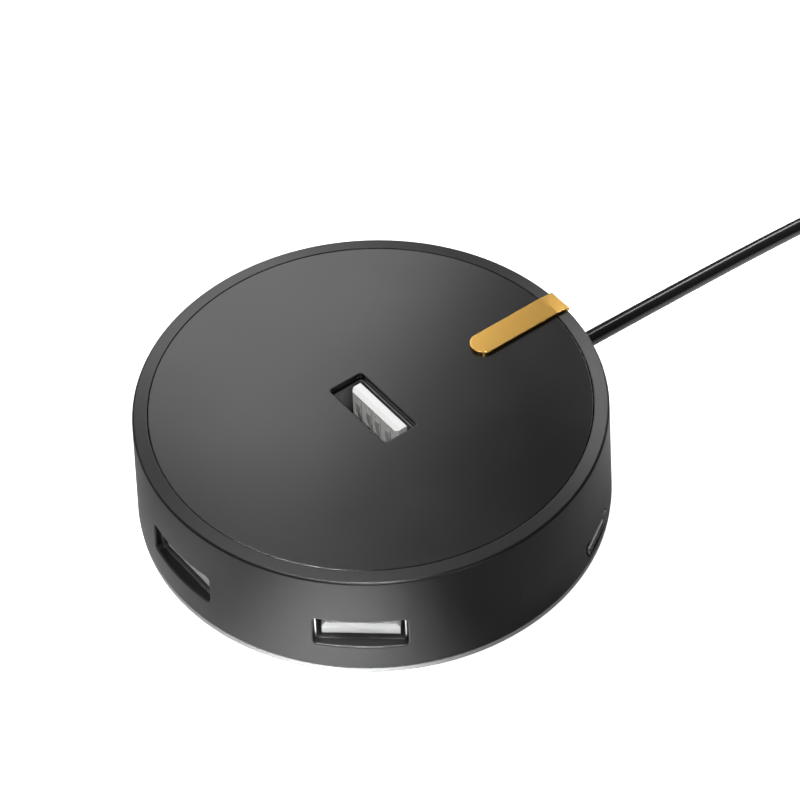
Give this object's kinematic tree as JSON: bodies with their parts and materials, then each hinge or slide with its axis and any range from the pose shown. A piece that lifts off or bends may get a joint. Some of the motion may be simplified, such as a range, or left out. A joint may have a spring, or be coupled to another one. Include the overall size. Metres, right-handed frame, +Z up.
{
  "type": "usb hub",
  "caption": "Round puck-shaped USB hub with sockets in its top and round its wall, a gold strip on the plate and a fixed cord with a plug.",
  "frame": {"origin": "on the table under the middle of the case, at the underside of the rubber feet", "axes": "+Z up out of the top plate, +Y the way the cord leaves, -Y towards the front socket, +X the side of the power inlet"},
  "size_m": [0.07, 0.217, 0.0198],
  "materials": {
    "case_black": "moulded black, satin",
    "plate_black": "black, satin sheen",
    "base_pale": "pale grey, glossy edge",
    "foot_rubber": "matte",
    "adhesive": "double-sided foam",
    "gold": "satin gold",
    "steel_screw": "zinc plated",
    "socket_steel": "nickel plated",
    "socket_white": "white, semi-gloss",
    "contact_metal": "gold plated",
    "board_green": "solder mask over glass-fibre board",
    "chip_black": "matte epoxy",
    "tinned": "tin plated",
    "capacitor_can": "sleeveless can",
    "fuse_green": "matte",
    "ceramic_tan": "ceramic",
    "header_white": "nylon",
    "wire_red": "insulated",
    "wire_white": "insulated",
    "wire_green": "insulated",
    "wire_black": "insulated",
    "cord_black": "glossy PVC sheath",
    "plug_black": "matte moulded PVC",
    "tie_black": "soft strap"
  },
  "bodies": {
    "root": {"base_cover": "base_pale", "base_screws": "steel_screw", "bulk_capacitor": "capacitor_can", "cable_clamp": "chip_black", "cable_grommet": "plug_black", "clamp_screws": "steel_screw", "coil_tie": "tie_black", "controller_leads": "tinned", "cord_coil": "cord_black", "cord_lead": "cord_black", "cord_tail": "cord_black", "crystal": "tinned", "gold_tab": "gold", "hub_controller": "chip_black", "main_pcb": "board_green", "plate_adhesive": "adhesive", "plug_contacts": "contact_metal", "plug_insulator": "socket_white", "plug_overmould": "plug_black", "plug_shell": "socket_steel", "port_front_contacts": "contact_metal", "port_front_left_contacts": "contact_metal", "port_front_left_shell": "socket_steel", "port_front_left_tongue": "socket_white", "port_front_right_contacts": "contact_metal", "port_front_right_shell": "socket_steel", "port_front_right_tongue": "socket_white", "port_front_shell": "socket_steel", "port_front_tongue": "socket_white", "port_top_contacts": "contact_metal", "port_top_shell": "socket_steel", "port_top_tongue": "socket_white", "power_inlet_contacts": "contact_metal", "power_inlet_shell": "socket_steel", "power_inlet_tongue": "socket_white", "resettable_fuse": "fuse_green", "rubber_feet": "foot_rubber", "smd_capacitors": "ceramic_tan", "smd_resistors": "chip_black", "top_plate": "plate_black", "upper_shell": "case_black", "wire_black": "wire_black", "wire_green": "wire_green", "wire_header": "header_white", "wire_red": "wire_red", "wire_white": "wire_white"}
  },
  "joints": []
}
